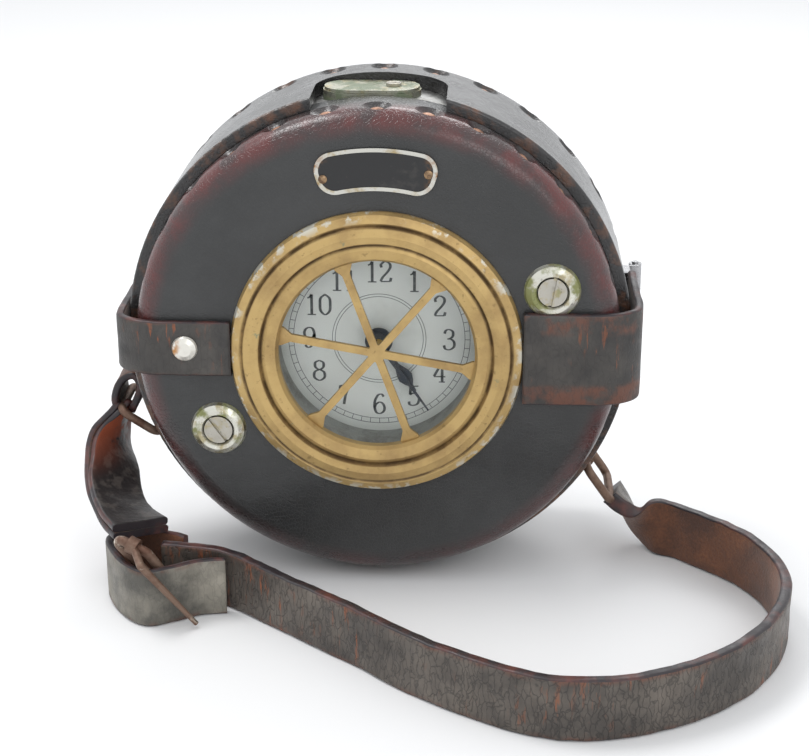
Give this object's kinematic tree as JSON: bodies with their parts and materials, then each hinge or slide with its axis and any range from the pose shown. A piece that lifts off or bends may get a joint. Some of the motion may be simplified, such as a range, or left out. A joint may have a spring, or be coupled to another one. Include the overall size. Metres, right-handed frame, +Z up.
{
  "type": "watchman clock",
  "caption": "Round portable watchman clock in a riveted leather case with a guarded dial window, key notch, hinged rear lid, paper tape recorder and shoulder strap.",
  "frame": {"origin": "centre of the flat leather back face, on the axis of the drum", "axes": "+Y out of the back face away from the dial, +Z up to the key notch, +X to the right as seen from the dial side"},
  "size_m": [0.2063, 0.1441, 0.146],
  "materials": {
    "case_leather": "worn black leather with oxblood edges",
    "strap_leather": "cracked grey-black harness leather",
    "copper_rivets": "dark copper",
    "nickel": "worn nickel plate with verdigris",
    "tin_plate": "dull tinned sheet",
    "bezel_brass": "worn brass with traces of nickel",
    "black_enamel": "black enamel with a bare border",
    "clear_glass": "clear",
    "silvered_dial": "silvered matte dial",
    "movement_brass": "polished clock brass",
    "movement_steel": "polished steel",
    "blued_steel": "blued steel",
    "tape_paper": "plain paper",
    "iron_wire": "rusted iron wire"
  },
  "bodies": {
    "case": {"front_leather_cup": "case_leather", "side_band": "case_leather", "case_rivets": "copper_rivets", "case_drum": "tin_plate", "bezel": "bezel_brass", "window_guard": "bezel_brass", "glass": "clear_glass", "dial_ring": "tin_plate", "dial": "silvered_dial", "name_plate": "black_enamel", "front_studs": "nickel", "screw_grommets": "nickel", "case_screws": "nickel", "left_cross_strap": "strap_leather", "right_cross_strap": "strap_leather", "keyhole_boss": "nickel", "ring_lugs": "iron_wire", "hinge_case_leaf": "movement_steel", "movement_front_plate": "movement_brass", "movement_back_plate": "movement_brass", "movement_screws": "movement_steel", "click": "movement_steel", "hairspring": "movement_steel", "balance_cock": "movement_brass", "paper_tape": "tape_paper", "long_strap": "strap_leather", "short_strap": "strap_leather", "strap_chape": "strap_leather", "buckle_frame": "iron_wire"},
    "lid": {"rear_cover": "tin_plate", "rear_leather_cup": "case_leather", "lock_housing": "movement_brass", "hinge_lid_leaf": "movement_steel"},
    "lock": {"lock_plug": "movement_steel"},
    "key_flap": {"keyhole_flap": "nickel"},
    "minute_arbor": {"centre_wheel": "movement_brass", "cannon_pinion": "movement_brass", "minute_hand": "blued_steel", "recorder_drive_gear": "movement_brass"},
    "hour_pipe": {"hour_wheel": "movement_brass", "hour_hand": "blued_steel"},
    "motion_wheel": {"minute_wheel": "movement_brass"},
    "spring_barrel": {"mainspring_barrel": "movement_brass", "mainspring": "movement_steel"},
    "third_arbor": {"third_wheel": "movement_brass"},
    "fourth_arbor": {"fourth_wheel": "movement_brass"},
    "escape_arbor": {"escape_wheel": "movement_brass"},
    "recorder_wheel": {"type_wheel": "movement_brass"},
    "winder": {"winding_arbor": "movement_steel", "ratchet_wheel": "movement_steel"},
    "pallets": {"pallet_fork": "movement_steel"},
    "balance": {"balance_wheel": "movement_brass"},
    "supply": {"supply_spool": "movement_brass", "supply_roll": "tape_paper"},
    "takeup": {"takeup_spool": "movement_brass", "takeup_roll": "tape_paper"},
    "stamper": {"stamp_lever": "movement_steel"},
    "ring_left": {"left_ring": "iron_wire"},
    "ring_right": {"right_ring": "iron_wire"},
    "tongue": {"buckle_tongue": "iron_wire"}
  },
  "joints": [
    {"name": "minute_turn", "type": "hinge", "parent": "case", "child": "minute_arbor", "pos_m": [0, -0.0386, 0], "axis": [0, 1, 0], "continuous": true},
    {"name": "hour_turn", "type": "hinge", "parent": "case", "child": "hour_pipe", "pos_m": [0, -0.0466, 0], "axis": [0, 1, 0], "continuous": true},
    {"name": "motion_wheel_turn", "type": "hinge", "parent": "case", "child": "motion_wheel", "pos_m": [0, -0.0436, -0.012], "axis": [0, 1, 0], "continuous": true},
    {"name": "barrel_turn", "type": "hinge", "parent": "case", "child": "spring_barrel", "pos_m": [-0.01782, -0.0336, -0.01782], "axis": [0, 1, 0], "continuous": true},
    {"name": "third_turn", "type": "hinge", "parent": "case", "child": "third_arbor", "pos_m": [0.01675, -0.0346, 0.00609], "axis": [0, 1, 0], "continuous": true},
    {"name": "fourth_turn", "type": "hinge", "parent": "case", "child": "fourth_arbor", "pos_m": [0.0235, -0.0346, -0.00561], "axis": [0, 1, 0], "continuous": true},
    {"name": "escape_turn", "type": "hinge", "parent": "case", "child": "escape_arbor", "pos_m": [0.0235, -0.0346, -0.01506], "axis": [0, 1, 0], "continuous": true},
    {"name": "type_wheel_turn", "type": "hinge", "parent": "case", "child": "recorder_wheel", "pos_m": [-0.00792, -0.0226, 0.02956], "axis": [0, 1, 0], "continuous": true},
    {"name": "winding", "type": "hinge", "parent": "case", "child": "winder", "pos_m": [-0.01782, -0.0286, -0.01782], "axis": [0, 1, 0], "range_deg": [0, 2520]},
    {"name": "pallet_swing", "type": "hinge", "parent": "case", "child": "pallets", "pos_m": [0.0235, -0.0346, -0.02145], "axis": [0, 1, 0], "range_deg": [-5, 5]},
    {"name": "balance_swing", "type": "hinge", "parent": "case", "child": "balance", "pos_m": [0.0235, -0.0346, -0.02926], "axis": [0, 1, 0], "range_deg": [-135, 135]},
    {"name": "supply_turn", "type": "hinge", "parent": "case", "child": "supply", "pos_m": [-0.036, -0.0206, 0.012], "axis": [0, 1, 0], "continuous": true},
    {"name": "takeup_turn", "type": "hinge", "parent": "case", "child": "takeup", "pos_m": [0.034, -0.0206, 0.02], "axis": [0, 1, 0], "continuous": true},
    {"name": "stamp_press", "type": "hinge", "parent": "case", "child": "stamper", "pos_m": [0.0105, -0.0206, 0.0436], "axis": [0, -1, 0], "range_deg": [0, 5], "stiffness_Nm_per_rad": 0.02, "springref_deg": -11.46},
    {"name": "lid_swing", "type": "hinge", "parent": "case", "child": "lid", "pos_m": [0.0762, -0.0076, 0], "axis": [0, 0, -1], "range_deg": [0, 110]},
    {"name": "lock_turn", "type": "hinge", "parent": "lid", "child": "lock", "pos_m": [-0.055, -0.0086, 0], "axis": [0, -1, 0], "range_deg": [0, 90]},
    {"name": "flap_swing", "type": "hinge", "parent": "case", "child": "key_flap", "pos_m": [0.0036, -0.03, 0.0704], "axis": [0, 0, 1], "range_deg": [0, 90]},
    {"name": "left_ring_swing", "type": "hinge", "parent": "case", "child": "ring_left", "pos_m": [-0.06745, -0.0276, -0.03437], "axis": [0, 1, 0], "range_deg": [-1.5, 5]},
    {"name": "right_ring_swing", "type": "hinge", "parent": "case", "child": "ring_right", "pos_m": [0.06201, -0.0276, -0.04342], "axis": [0, 1, 0], "range_deg": [-3, 1.5]},
    {"name": "tongue_swing", "type": "hinge", "parent": "case", "child": "tongue", "pos_m": [-0.06777, -0.08334, -0.05016], "axis": [-0.9049, 0.2803, 0.3203], "range_deg": [0, 30]}
  ],
  "couplings": [
    {"joint": "hour_turn", "follows": "minute_turn", "ratio": 0.083333},
    {"joint": "motion_wheel_turn", "follows": "minute_turn", "ratio": -0.33333},
    {"joint": "barrel_turn", "follows": "minute_turn", "ratio": -0.16667},
    {"joint": "third_turn", "follows": "minute_turn", "ratio": -8},
    {"joint": "fourth_turn", "follows": "minute_turn", "ratio": 60},
    {"joint": "escape_turn", "follows": "minute_turn", "ratio": -480},
    {"joint": "type_wheel_turn", "follows": "minute_turn", "ratio": -1},
    {"joint": "takeup_turn", "follows": "supply_turn", "ratio": 1.375}
  ]
}
